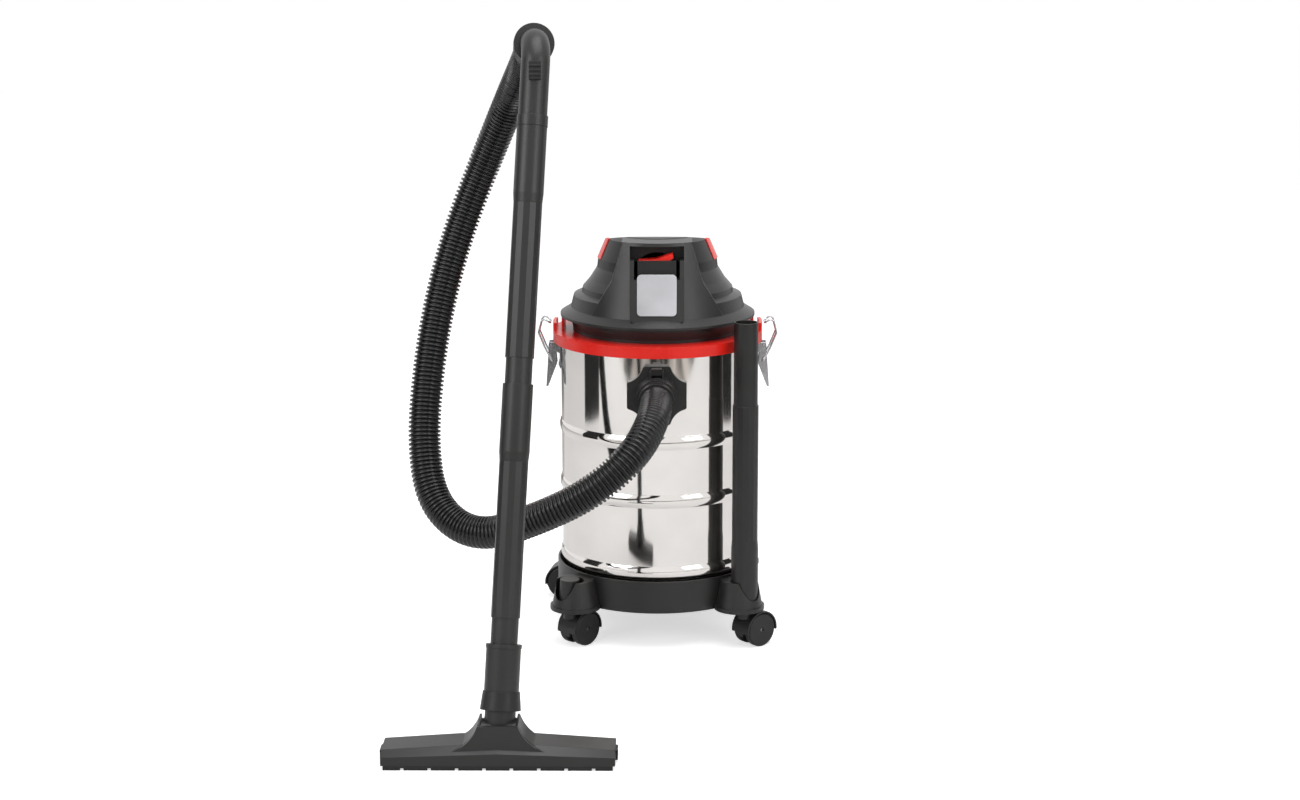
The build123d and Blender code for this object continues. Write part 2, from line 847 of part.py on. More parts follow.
with BuildPart() as nozzle_body:
    for side in (-1, 1):
        with BuildSketch(Plane.YZ.offset(pivot_x)):
            wing_section(nozzle_middle_front_height, nozzle_middle_top_height)
        with BuildSketch(Plane.YZ.offset(pivot_x + side * nozzle_width / 2)):
            wing_section(nozzle_end_front_height, nozzle_end_top_height)
        loft()
        inner = pivot_x + side * cheek_inside
        shoulder = inner + side * cheek_top_width
        outer = inner + side * cheek_width
        with BuildSketch(Plane.XZ.offset(-pivot_y)):
            with BuildLine():
                Polyline(
                    (outer, nozzle_middle_front_height),
                    (outer, nozzle_channel_top),
                    (inner, nozzle_channel_top),
                    (inner, cheek_height),
                    (shoulder, cheek_height),
                )
                RadiusArc(
                    (shoulder, cheek_height),
                    (outer, nozzle_middle_front_height),
                    -side * cheek_sweep_radius,
                )
            make_face()
        extrude(amount=cheek_depth / 2, both=True)
    with BuildSketch(Plane.XZ.offset(throat_half - pivot_y)):
        with BuildLine():
            RadiusArc(
                (pivot_x + cheek_inside + cheek_top_width, cheek_height),
                (pivot_x + cheek_inside + cheek_width, nozzle_middle_front_height),
                -cheek_sweep_radius,
            )
            RadiusArc(
                (pivot_x - cheek_inside - cheek_top_width, cheek_height),
                (pivot_x - cheek_inside - cheek_width, nozzle_middle_front_height),
                cheek_sweep_radius,
            )
            Polyline(
                (pivot_x + cheek_inside + cheek_width, nozzle_middle_front_height),
                (pivot_x + cheek_inside + cheek_width, nozzle_channel_top),
                (pivot_x - cheek_inside - cheek_width, nozzle_channel_top),
                (pivot_x - cheek_inside - cheek_width, nozzle_middle_front_height),
            )
            Line(
                (pivot_x - cheek_inside - cheek_top_width, cheek_height),
                (pivot_x + cheek_inside + cheek_top_width, cheek_height),
            )
        make_face()
    extrude(amount=front_wall)
    with Locations(pivot_point):
        Box(2 * cheek_inside, 2 * throat_half, 4 * cheek_height, mode=Mode.SUBTRACT)
    with Locations((pivot_x, pivot_y, nozzle_middle_front_height)):
        Box(
            2 * cheek_inside,
            2 * nozzle_back,
            cheek_height,
            align=(Align.CENTER, Align.MIN, Align.MIN),
            mode=Mode.SUBTRACT,
        )
    with Locations((pivot_x, pivot_y, 0)):
        Box(
            nozzle_channel_length,
            nozzle_channel_width,
            nozzle_channel_top,
            align=upright,
            mode=Mode.SUBTRACT,
        )
    with BuildSketch(pivot_axis):
        Circle(pin_radius + running_clearance)
    extrude(amount=cheek_inside + pin_length + slip_clearance, both=True, mode=Mode.SUBTRACT)
save(nozzle_body, "nozzle_body")

insert_length = nozzle_width - 2 * clip_thickness
insert_front = pivot_y - nozzle_front + lip_thickness / 2
insert_back = pivot_y + nozzle_back - lip_thickness / 2

with BuildPart() as nozzle_insert:
    with Locations((pivot_x, (insert_front + insert_back) / 2, nozzle_base_height - insert_plate)):
        Box(insert_length, insert_back - insert_front, insert_plate, align=upright)
    with Locations((pivot_x, pivot_y, 0)):
        Box(
            nozzle_channel_length,
            nozzle_channel_width,
            nozzle_base_height,
            align=upright,
            mode=Mode.SUBTRACT,
        )
    with Locations((pivot_x, insert_front, 0), (pivot_x, insert_back, 0)):
        Box(insert_length, lip_thickness, nozzle_base_height, align=upright)
    with Locations((pivot_x, insert_front, 0)):
        with GridLocations(lip_notch_pitch, 1, lip_notches, 1):
            Box(lip_notch_width, 2 * lip_thickness, insert_plate, align=upright, mode=Mode.SUBTRACT)
save(nozzle_insert, "nozzle_insert")

with BuildPart() as nozzle_clips:
    for side in (-1, 1):
        with Locations((pivot_x + side * (nozzle_width + clip_thickness) / 2, pivot_y, nozzle_base_height)):
            Box(clip_thickness, clip_width, clip_height, align=upright)
save(nozzle_clips, "nozzle_clips")

# Handle: bends back and down over two equal turns to the hose's cuff
bend_tangent = handle_bend_radius * tan(radians(handle_turn / 2))
bend_axis = Axis((0, 0, 0), (cos(radians(handle_yaw)), sin(radians(handle_yaw)), 0))
bend_way = wand_way.rotate(bend_axis, -handle_turn)
cuff_way = wand_way.rotate(bend_axis, -2 * handle_turn)
handle_low = pivot_point + wand_way * upper_mouth
handle_first = handle_low + wand_way * (handle_straight + bend_tangent)
handle_second = handle_first + bend_way * (2 * bend_tangent + slip_clearance)
cuff_start = handle_second + cuff_way * bend_tangent
handle_tip = cuff_start + cuff_way * handle_end

with BuildLine() as handle_line:
    FilletPolyline(handle_low, handle_first, handle_second, handle_tip, radius=handle_bend_radius)
handle_path = handle_line.wire()

slider_up = wand_way.rotate(Axis.X, 90)
slider_plane = Plane(
    origin=handle_low + wand_way * slider_place,
    x_dir=(1, 0, 0),
    z_dir=slider_up,
)

with BuildPart() as handle:
    with BuildSketch(wand_plane(upper_mouth)):
        Circle(handle_radius)
    sweep(path=handle_path)
    with BuildSketch(wand_plane(upper_mouth)):
        Circle(handle_collar_radius)
    extrude(amount=handle_collar_length)
    with BuildSketch(wand_plane(upper_mouth - handle_spigot)):
        Circle(spigot_radius)
    extrude(amount=handle_spigot)
    with BuildSketch(wand_plane(upper_mouth)):
        Circle(tube_bore_radius)
    sweep(path=handle_path, mode=Mode.SUBTRACT)
    with BuildSketch(wand_plane(upper_mouth - handle_spigot)):
        Circle(tube_bore_radius)
    extrude(amount=handle_spigot, mode=Mode.SUBTRACT)
    with BuildSketch(slider_plane):
        Circle(air_hole_radius)
    extrude(amount=2 * handle_radius, mode=Mode.SUBTRACT)
save(handle, "handle")

slider_seat = handle_radius + slip_clearance

with BuildPart() as air_slider:
    with BuildSketch(slider_plane):
        Rectangle(slider_width, slider_length)
    extrude(amount=slider_seat + slider_thickness)
    with BuildSketch(slider_plane.offset(slider_seat + slider_thickness)):
        with GridLocations(1, slider_length / 4, 1, 3):
            Rectangle(slider_width, 2 * slider_ridge)
    extrude(amount=slider_ridge)
    with BuildSketch(wand_plane(upper_mouth)):
        Circle(slider_seat)
    extrude(amount=2 * slider_place, mode=Mode.SUBTRACT)
save(air_slider, "air_slider")

with BuildPart(Plane(origin=cuff_start, x_dir=(1, 0, 0), z_dir=cuff_way)) as hose_cuff:
    Cylinder(cuff_radius - cuff_rim, cuff_length, align=upright)
    Cylinder(cuff_radius, cuff_length / 4, align=upright)
    Cylinder(hose_bore_radius, cuff_length, align=upright, mode=Mode.SUBTRACT)
    Cylinder(handle_radius + fit_clearance, handle_end + slip_clearance, align=upright, mode=Mode.SUBTRACT)
save(hose_cuff, "hose_cuff")

# Hose: from the connector's face, round the loop in front of the drum, up to the cuff
cuff_exit = cuff_start + cuff_way * (cuff_length + hose_cuff_gap)
hose_points = [
    Vector(0, -connector_face, inlet_height),
    Vector(0, -276, inlet_height),
    Vector(-26, -338, 343),
    Vector(-85, -352, 292),
    Vector(-165, -340, 250),
    Vector(-250, -305, 214),
    Vector(-314, -262, 248),
    Vector(-331, -225, 332),
    Vector(-321, -190, 455),
    Vector(-300, -160, 560),
    Vector(-272, -138, 648),
    Vector(-238, -130, 731),
    Vector(-203, -152, 812),
    cuff_exit + cuff_way * hose_end_run,
    cuff_exit,
]
hose_radii = []
for before, here, after in zip(hose_points, hose_points[1:], hose_points[2:]):
    turn = (here - before).get_angle(after - here)
    shorter = min((here - before).length, (after - here).length)
    hose_radii.append(arc_share * shorter / tan(radians(turn / 2)))
print("hose arc radii", [round(radius) for radius in hose_radii])

with BuildLine() as hose_line:
    FilletPolyline(*hose_points, radius=hose_radii)
hose_path = hose_line.wire()
rib_pitch = hose_path.length / (hose_ribs + 1)
rib_form = ((0.0, hose_root_radius), (0.3, hose_root_radius), (0.45, hose_radius), (0.85, hose_radius))
hose_stations = []
for rib in range(hose_ribs):
    hose_stations += [((rib + share) * rib_pitch, radius) for share, radius in rib_form]
hose_stations += [(hose_ribs * rib_pitch, hose_root_radius), (hose_path.length, hose_root_radius)]

with BuildPart() as hose:
    across = Vector(1, 0, 0)
    for distance, radius in hose_stations:
        place = hose_path.position_at(distance, position_mode=PositionMode.LENGTH)
        way = hose_path.tangent_at(distance, position_mode=PositionMode.LENGTH)
        across = (across - way * across.dot(way)).normalized()
        with BuildSketch(Plane(origin=place, x_dir=across, z_dir=way)):
            Circle(radius)
    loft(ruled=True)
    with BuildSketch(Plane(origin=hose_points[0], z_dir=(0, -1, 0))):
        Circle(hose_bore_radius)
    sweep(path=hose_path, mode=Mode.SUBTRACT)
print("hose length", round(hose_path.length), "volume", round(hose.part.volume))
save(hose, "hose")


def radial_plane(angle):
    """A half plane through the drum's axis, drawn as radius and height."""
    way = Vector(cos(radians(angle)), sin(radians(angle)), 0)
    return Plane(origin=(0, 0, 0), x_dir=way, z_dir=(way.Y, -way.X, 0))


def sector(angle, sweep_angle, points, mode=Mode.ADD):
    """Turn a section through an arc centred on an angle."""
    with BuildSketch(radial_plane(angle - sweep_angle / 2)) as section:
        with BuildLine():
            Polyline(*points, close=True)
        make_face()
    revolve(section.sketch, axis=Axis.Z, revolution_arc=sweep_angle, mode=mode)


def ring_section(low, high, inner, outer):
    """Corners of a square ring section."""
    return ((inner, low), (outer, low), (outer, high), (inner, high))


# Red ring with its latch lugs, and the gasket under it
lug_inner_radius = ring_radius - lug_outer_wall - lug_groove - lug_inner_wall

with BuildPart() as red_ring:
    sector(0, 360, ring_section(web_low, ring_top_height, ring_web_inner, ring_radius))
    sector(0, 360, ring_section(ring_low_height, ring_top_height, ring_radius - ring_skirt, ring_radius))
    for angle in (0, 180):
        outer_wall = ring_section(
            ring_top_height - ring_skirt / 2,
            ring_top_height + lug_outer_height,
            ring_radius - lug_outer_wall,
            ring_radius,
        )
        inner_wall = ring_section(
            ring_top_height - ring_skirt / 2,
            ring_top_height + lug_inner_height,
            lug_inner_radius,
            lug_inner_radius + lug_inner_wall,
        )
        sector(angle, lug_sweep, outer_wall)
        sector(angle, lug_sweep, inner_wall)
save(red_ring, "red_ring")

with BuildPart() as gasket:
    gasket_outer = drum_radius + drum_curl
    gasket_inner = gasket_outer - gasket_width
    sector(0, 360, ring_section(web_low - gasket_thickness, web_low, gasket_inner, gasket_outer))
save(gasket, "gasket")

# Head base
head_floor_top = head_floor_low + head_floor_thickness
skirt_inner_radius = skirt_top_radius - skirt_wall

with BuildPart() as head_base:
    with BuildSketch(Plane.XZ):
        with BuildLine():
            Polyline(
                (intake_radius, head_floor_low),
                (intake_radius, head_floor_top),
                (skirt_inner_radius, head_floor_top),
                (skirt_inner_radius, skirt_top_height),
                (skirt_top_radius, skirt_top_height),
                (skirt_top_radius, skirt_slope_top),
                (skirt_low_radius, ring_top_height + skirt_step),
                (skirt_low_radius, ring_top_height),
                (skirt_inner_radius - skirt_wall, ring_top_height),
                (skirt_inner_radius - skirt_wall, head_floor_low),
                close=True,
            )
        make_face()
    revolve(axis=Axis.Z)
    for angle in panel_angles:
        for facing in (-90, 90):
            way = Vector(cos(radians(facing + angle)), sin(radians(facing + angle)), 0)
            middle = (ring_top_height + skirt_step + skirt_slope_top) / 2
            recess = Plane(origin=way * (skirt_top_radius - panel_depth) + Vector(0, 0, middle), z_dir=way)
            with BuildSketch(Plane(recess.origin, x_dir=Vector(0, 0, 1).cross(way), z_dir=way)):
                Rectangle(panel_width, panel_height)
            extrude(amount=skirt_wall * 2, mode=Mode.SUBTRACT)
    with Locations((0, 0, head_floor_low)):
        with PolarLocations(screw_circle, 4):
            Cylinder(screw_radius + fit_clearance, head_floor_thickness, align=upright, mode=Mode.SUBTRACT)
save(head_base, "head_base")

# Head cover: round tiers, the front tower cut to a cone, and the flat panel on it
tower_low = tower_outline[-1][1]
tower_top = tower_outline[0][1]
tower_slope = (tower_low_radius - tower_top_radius) / (tower_top - tower_low)


def tower_radius(height):
    """Radius of the tower's front at a height."""
    return tower_low_radius - (height - tower_low) * tower_slope


with BuildPart() as tower:
    with BuildSketch(Plane.XZ):
        with BuildLine():
            Polyline(*tower_outline, *[(-x, z) for x, z in reversed(tower_outline)], close=True)
        make_face()
    extrude(amount=tower_low_radius)
    with BuildSketch(Plane.XZ):
        with BuildLine():
            Polyline(
                (0, tower_low),
                (tower_low_radius, tower_low),
                (tower_top_radius, tower_top),
                (0, tower_top),
                close=True,
            )
        make_face()
    revolve(axis=Axis.Z, mode=Mode.INTERSECT)

deck_plane = Plane(
    origin=(0, -deck_break, deck_height - deck_drop),
    x_dir=(1, 0, 0),
    z_dir=(0, sin(radians(deck_slope)), cos(radians(deck_slope))),
)
panel_way = Vector(0, -1, tower_slope).normalized()
panel_foot = Vector(0, -tower_radius(front_panel_height), front_panel_height)
panel_origin = panel_foot + panel_way * front_panel_proud
panel_plane = Plane(origin=panel_origin, x_dir=(1, 0, 0), z_dir=panel_way)
cavity_tiers = [(radius - cover_wall, height - cover_wall) for radius, height in cover_tiers]
grip_low = cover_tiers[6]
grip_high = cover_tiers[7]
switch_opening = switch_half_width + switch_slot
exhaust_radius = exhaust_bore_radius + exhaust_wall


def grip_section(proud):
    """Section of a side grip, sunk in the cover's shoulder and standing a little proud."""
    low_radius, low_height = grip_low
    high_radius, high_height = grip_high
    return (
        (low_radius - grip_depth, low_height),
        (low_radius + proud, low_height),
        (high_radius + proud, high_height + grip_proud),
        (high_radius - grip_depth, high_height + grip_proud),
    )


with BuildPart() as cavity:
    with BuildSketch(Plane.XZ):
        with BuildLine():
            Polyline(
                (0, skirt_top_height),
                (cavity_tiers[0][0], skirt_top_height),
                *cavity_tiers,
                (0, deck_height - cover_wall),
                close=True,
            )
        make_face()
    revolve(axis=Axis.Z)
    split(bisect_by=deck_plane.offset(-cover_wall), keep=Keep.BOTTOM)

grip_angles = {"side_grip_right": grip_turn, "side_grip_left": 180 - grip_turn}

with BuildPart() as head_cover:
    with BuildSketch(Plane.XZ):
        with BuildLine():
            Polyline(
                (0, skirt_top_height),
                (brim_radius, skirt_top_height),
                (brim_radius, brim_edge_height),
                *cover_tiers,
                (0, deck_height),
                close=True,
            )
        make_face()
    revolve(axis=Axis.Z)
    add(tower.part)
    split(bisect_by=deck_plane, keep=Keep.BOTTOM)
    with BuildSketch(panel_plane):
        RectangleRounded(2 * panel_half_width, front_panel_length, front_panel_corner)
    extrude(amount=-front_panel_depth)
    add(cavity.part, mode=Mode.SUBTRACT)
    with Locations((0, -niche_back, switch_low)):
        Box(
            2 * switch_opening,
            tower_low_radius,
            niche_top - switch_low,
            align=(Align.CENTER, Align.MAX, Align.MIN),
            mode=Mode.SUBTRACT,
        )
    with Locations((0, -niche_back, switch_top)):
        Box(
            2 * panel_half_width,
            tower_low_radius,
            niche_top - switch_top,
            align=(Align.CENTER, Align.MAX, Align.MIN),
            mode=Mode.SUBTRACT,
        )
    for angle in grip_angles.values():
        sector(angle, grip_sweep, grip_section(2 * cover_wall), mode=Mode.SUBTRACT)
    with BuildSketch(Plane.XZ):
        with Locations((0, exhaust_height)):
            Circle(exhaust_radius)
        with Locations((gland_side, gland_height)):
            Circle(gland_radius)
    extrude(amount=-brim_radius, mode=Mode.SUBTRACT)
save(head_cover, "head_cover")

for name, angle in grip_angles.items():
    with BuildPart() as side_grip:
        sector(angle, grip_sweep, grip_section(grip_proud))
        split(bisect_by=deck_plane.offset(grip_proud), keep=Keep.BOTTOM)
    save(side_grip, name)

with BuildPart() as badge_plate:
    with BuildSketch(panel_plane):
        with Locations((0, -badge_drop)):
            RectangleRounded(badge_width, badge_height, badge_corner)
    extrude(amount=badge_thickness)
save(badge_plate, "badge_plate")

with BuildPart() as exhaust_port:
    with BuildSketch(Plane.XZ.offset(-exhaust_inside)):
        with Locations((0, exhaust_height)):
            Circle(exhaust_radius)
            Circle(exhaust_bore_radius, mode=Mode.SUBTRACT)
    extrude(amount=exhaust_inside - exhaust_reach)
save(exhaust_port, "exhaust_port")

with BuildPart() as cord_gland:
    with BuildSketch(Plane.XZ.offset(-gland_inside)):
        with Locations((gland_side, gland_height)):
            Circle(gland_radius)
            Circle(gland_bore_radius, mode=Mode.SUBTRACT)
    extrude(amount=gland_inside - gland_reach)
save(cord_gland, "cord_gland")

# Switch: the rocker tips left and right on a pin that runs front to back
rocker_pivot = Vector(0, 0, switch_top - rocker_pivot_drop)
pocket_half_width = rocker_half_width + switch_wall - slip_clearance
switch_middle = (switch_front + switch_back) / 2
rocker_depth = switch_front - switch_back - 2 * switch_wall - 2 * slip_clearance

rocker_pin_reach = rocker_depth / 2 + slip_clearance + switch_wall / 2

with BuildPart() as switch_body:
    with Locations((0, -switch_middle, switch_low)):
        Box(2 * switch_half_width, switch_front - switch_back, switch_top - switch_low, align=upright)
    with Locations((0, -switch_middle, switch_top - switch_pocket)):
        Box(
            2 * pocket_half_width,
            switch_front - switch_back - 2 * switch_wall,
            switch_pocket,
            align=upright,
            mode=Mode.SUBTRACT,
        )
    with BuildSketch(Plane.XZ.offset(switch_middle)):
        with Locations((0, rocker_pivot.Z)):
            Circle(rocker_pin_radius + running_clearance)
    extrude(amount=rocker_pin_reach + slip_clearance, both=True, mode=Mode.SUBTRACT)
save(switch_body, "switch_body")

rocker_plane = Plane(
    origin=rocker_pivot - Vector(0, switch_middle, 0),
    x_dir=(cos(radians(rocker_rest)), 0, sin(radians(rocker_rest))),
    z_dir=(0, -1, 0),
)

with BuildPart() as rocker:
    with BuildSketch(rocker_plane):
        with BuildLine():
            Polyline(
                (-rocker_half_width, rocker_shoulder),
                (-rocker_half_width, rocker_end_height),
                (0, rocker_middle_height),
                (rocker_half_width, rocker_end_height),
                (rocker_half_width, rocker_shoulder),
                (0, -rocker_belly),
                close=True,
            )
        make_face()
    extrude(amount=rocker_depth / 2, both=True)
    with BuildSketch(rocker_plane):
        Circle(rocker_pin_radius)
    extrude(amount=rocker_pin_reach, both=True)
save(rocker, "rocker")

# Fan and motor
fan_top = head_floor_top + fan_height
frame_inner_radius = frame_radius - frame_wall
frame_top_height = fan_top + frame_height
commutator_top = frame_top_height - frame_top - shaft_gap
shaft_low = head_floor_top + fan_wall + shaft_gap
impeller_low = head_floor_top + fan_wall + impeller_low_gap

with BuildPart() as fan_housing:
    with Locations((0, 0, head_floor_top)):
        Cylinder(fan_radius, fan_height, align=upright)
    with Locations((0, 0, fan_top)):
        Cylinder(bearing_radius + bearing_seat_wall, bearing_height, align=upright)
        Cylinder(bearing_radius + fit_clearance, bearing_height, align=upright, mode=Mode.SUBTRACT)
    with Locations((0, 0, head_floor_top + fan_wall)):
        Cylinder(fan_radius - fan_wall, fan_height - 2 * fan_wall, align=upright, mode=Mode.SUBTRACT)
    with Locations((0, 0, head_floor_top)):
        Cylinder(intake_radius, fan_wall, align=upright, mode=Mode.SUBTRACT)
        Cylinder(shaft_radius + fan_wall, fan_height, align=upright, mode=Mode.SUBTRACT)
    with Locations((0, 0, head_floor_top + fan_height / 2)):
        with PolarLocations(fan_radius, 6):
            Box(4 * fan_wall, fan_height / 2, fan_height / 3, mode=Mode.SUBTRACT)
save(fan_housing, "fan_housing")

blade_length = impeller_radius - intake_radius - impeller_plate

with BuildPart() as impeller:
    with Locations((0, 0, impeller_low)):
        Cylinder(impeller_radius, impeller_plate, align=upright)
        Cylinder(intake_radius, impeller_plate, align=upright, mode=Mode.SUBTRACT)
        Cylinder(impeller_hub_radius, impeller_height, align=upright)
        with PolarLocations((intake_radius + impeller_radius) / 2, impeller_blades):
            Box(blade_length, impeller_plate, impeller_height, align=upright)
    with Locations((0, 0, impeller_low + impeller_height - impeller_plate)):
        Cylinder(impeller_radius, impeller_plate, align=upright)
    with Locations((0, 0, impeller_low)):
        Cylinder(shaft_radius + fit_clearance, impeller_height, align=upright, mode=Mode.SUBTRACT)
save(impeller, "impeller")

with BuildPart() as motor_bearings:
    with Locations((0, 0, fan_top), (0, 0, frame_top_height - bearing_height)):
        Cylinder(bearing_radius, bearing_height, align=upright)
        Cylinder(shaft_radius + running_clearance, bearing_height, align=upright, mode=Mode.SUBTRACT)
save(motor_bearings, "motor_bearings")

brush_hole = brush_size + 2 * fit_clearance

with BuildPart() as motor_frame:
    with Locations((0, 0, fan_top)):
        Cylinder(frame_radius, frame_height, align=upright)
        Cylinder(frame_inner_radius, frame_height - frame_top, align=upright, mode=Mode.SUBTRACT)
        Cylinder(shaft_radius + fan_wall, frame_height, align=upright, mode=Mode.SUBTRACT)
    with Locations((0, 0, frame_top_height - bearing_height)):
        Cylinder(bearing_radius + fit_clearance, bearing_height, align=upright, mode=Mode.SUBTRACT)
    with Locations((0, 0, commutator_top - commutator_height / 2)):
        Box(2 * frame_radius, brush_hole, brush_hole, mode=Mode.SUBTRACT)
save(motor_frame, "motor_frame")

with BuildPart() as motor_stator:
    with Locations((0, 0, fan_top + stator_low_gap)):
        Cylinder(frame_inner_radius - fit_clearance, stator_height, align=upright)
        Cylinder(stator_inner_radius, stator_height, align=upright, mode=Mode.SUBTRACT)
save(motor_stator, "motor_stator")

with BuildPart() as motor_rotor:
    with Locations((0, 0, shaft_low)):
        Cylinder(shaft_radius, frame_top_height + shaft_gap - shaft_low, align=upright)
    with Locations((0, 0, fan_top + stator_low_gap)):
        Cylinder(armature_radius, stator_height, align=upright)
        Cylinder(armature_neck_radius, commutator_top - fan_top - stator_low_gap, align=upright)
    with Locations((0, 0, commutator_top - commutator_height)):
        Cylinder(commutator_radius, commutator_height, align=upright)
save(motor_rotor, "motor_rotor")

with BuildPart() as motor_brushes:
    brush_length = frame_radius - commutator_radius - brush_gap
    with Locations((0, 0, commutator_top - commutator_height / 2)):
        with PolarLocations(commutator_radius + brush_gap + brush_length / 2, 2):
            Box(brush_length, brush_size, brush_size)
save(motor_brushes, "motor_brushes")

# Filter cage under the head, with its float, screws and sleeve
cage_top = head_floor_low - cage_plate
cage_low = cage_top - cage_length
guide_inner = float_radius + 2 * slip_clearance
guide_outer = cage_radius - cage_wall / 2
cage_inner_radius = cage_radius - cage_wall

with BuildPart() as filter_cage:
    with Locations((0, 0, cage_top)):
        Cylinder(cage_flange_radius, cage_plate, align=upright)
    with Locations((0, 0, cage_low - cage_plate)):
        Cylinder(cage_radius, cage_length + cage_plate, align=upright)
    with Locations((0, 0, cage_low)):
        Cylinder(cage_inner_radius, cage_length, align=upright, mode=Mode.SUBTRACT)
    with Locations((0, 0, cage_low + cage_length / 2)):
        with PolarLocations(cage_radius, cage_windows):
            Box(4 * cage_wall, cage_window_width, cage_length - 2 * cage_window_margin, mode=Mode.SUBTRACT)
    with Locations((0, 0, cage_low)):
        with PolarLocations((guide_inner + guide_outer) / 2, 4, start_angle=180 / cage_windows):
            Box(guide_outer - guide_inner, guide_thickness, cage_length, align=upright)
    with Locations((0, 0, cage_top)):
        Cylinder(intake_radius, cage_plate, align=upright, mode=Mode.SUBTRACT)
        with PolarLocations(screw_circle, 4):
            Cylinder(screw_radius + fit_clearance, cage_plate, align=upright, mode=Mode.SUBTRACT)
save(filter_cage, "filter_cage")

with BuildPart() as cage_screws:
    with Locations((0, 0, cage_top - screw_head)):
        with PolarLocations(screw_circle, 4):
            Cylinder(screw_head_radius, screw_head, align=upright)
            Cylinder(screw_radius, screw_head + cage_plate + head_floor_thickness, align=upright)
save(cage_screws, "cage_screws")

with BuildPart() as float_cup:
    with Locations((0, 0, cage_low + float_rest_gap)):
        Cylinder(float_radius, float_height, align=upright)
        Cylinder(float_radius - float_wall, float_height - float_wall, align=upright, mode=Mode.SUBTRACT)
save(float_cup, "float")

with BuildPart() as filter_sleeve:
    with Locations((0, 0, cage_low)):
        Cylinder(cage_radius + sleeve_gap + sleeve_thickness, sleeve_length, align=upright)
        Cylinder(cage_radius + sleeve_gap, sleeve_length, align=upright, mode=Mode.SUBTRACT)
save(filter_sleeve, "filter_sleeve")
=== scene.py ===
import json
from math import cos, pi, radians, sin

import bmesh
import bpy
from mathutils import Matrix, Vector


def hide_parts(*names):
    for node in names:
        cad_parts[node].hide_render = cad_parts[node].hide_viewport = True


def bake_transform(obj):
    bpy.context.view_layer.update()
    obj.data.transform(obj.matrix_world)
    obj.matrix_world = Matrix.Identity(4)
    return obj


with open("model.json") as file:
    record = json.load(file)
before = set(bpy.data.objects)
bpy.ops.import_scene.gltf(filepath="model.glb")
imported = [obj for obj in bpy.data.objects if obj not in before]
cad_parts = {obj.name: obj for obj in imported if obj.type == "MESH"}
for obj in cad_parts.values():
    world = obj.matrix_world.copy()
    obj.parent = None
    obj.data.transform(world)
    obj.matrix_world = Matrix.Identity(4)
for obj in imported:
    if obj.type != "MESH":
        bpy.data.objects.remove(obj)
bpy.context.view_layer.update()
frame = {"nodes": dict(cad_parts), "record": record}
scene = bpy.context.scene
scene.view_settings.view_transform = "Standard"

# Surface grain
rounded_edge = 0.0009
grain_height = 0.0004
gloss_patches = 14.0


def grain_group(name, stretch):
    """A node group with fine grain, stretched along the axes, and slow patches of gloss and shade."""
    tree = bpy.data.node_groups.new(name, "ShaderNodeTree")
    for label, default in (("Scale", 900.0), ("Depth", 0.1), ("Low", 0.4), ("High", 0.5)):
        socket = tree.interface.new_socket(label, in_out="INPUT", socket_type="NodeSocketFloat")
        socket.default_value = default
    tree.interface.new_socket("Roughness", in_out="OUTPUT", socket_type="NodeSocketFloat")
    tree.interface.new_socket("Normal", in_out="OUTPUT", socket_type="NodeSocketVector")
    tree.interface.new_socket("Shade", in_out="OUTPUT", socket_type="NodeSocketFloat")
    node, link = tree.nodes.new, tree.links.new
    source, sink = node("NodeGroupInput"), node("NodeGroupOutput")

    place = node("ShaderNodeTexCoord")
    mapping = node("ShaderNodeMapping")
    mapping.inputs["Scale"].default_value = stretch
    link(place.outputs["Object"], mapping.inputs["Vector"])
    fine = node("ShaderNodeTexNoise")
    fine.inputs["Detail"].default_value = 3.0
    link(mapping.outputs["Vector"], fine.inputs["Vector"])
    link(source.outputs["Scale"], fine.inputs["Scale"])
    slow = node("ShaderNodeTexNoise")
    slow.inputs["Scale"].default_value = gloss_patches
    slow.inputs["Detail"].default_value = 4.0
    link(place.outputs["Object"], slow.inputs["Vector"])

    half = node("ShaderNodeMath")
    half.operation = "MULTIPLY"
    half.inputs[1].default_value = 0.5
    link(slow.outputs["Fac"], half.inputs[0])
    mix = node("ShaderNodeMath")
    mix.operation = "MULTIPLY_ADD"
    mix.inputs[1].default_value = 0.5
    link(fine.outputs["Fac"], mix.inputs[0])
    link(half.outputs[0], mix.inputs[2])
    span = node("ShaderNodeMapRange")
    span.inputs["From Min"].default_value = 0.3
    span.inputs["From Max"].default_value = 0.7
    link(mix.outputs[0], span.inputs["Value"])
    link(source.outputs["Low"], span.inputs["To Min"])
    link(source.outputs["High"], span.inputs["To Max"])

    bevel = node("ShaderNodeBevel")
    bevel.samples = 4
    bevel.inputs["Radius"].default_value = rounded_edge
    bump = node("ShaderNodeBump")
    bump.inputs["Distance"].default_value = grain_height
    link(source.outputs["Depth"], bump.inputs["Strength"])
    link(fine.outputs["Fac"], bump.inputs["Height"])
    link(bevel.outputs["Normal"], bump.inputs["Normal"])

    link(span.outputs["Result"], sink.inputs["Roughness"])
    link(bump.outputs["Normal"], sink.inputs["Normal"])
    link(slow.outputs["Fac"], sink.inputs["Shade"])
    return tree


moulded = grain_group("moulded_grain", (1, 1, 1))
drawn = grain_group("drawn_metal", (1, 1, 0.02))
brushed = grain_group("brushed_metal", (0.02, 1, 1))


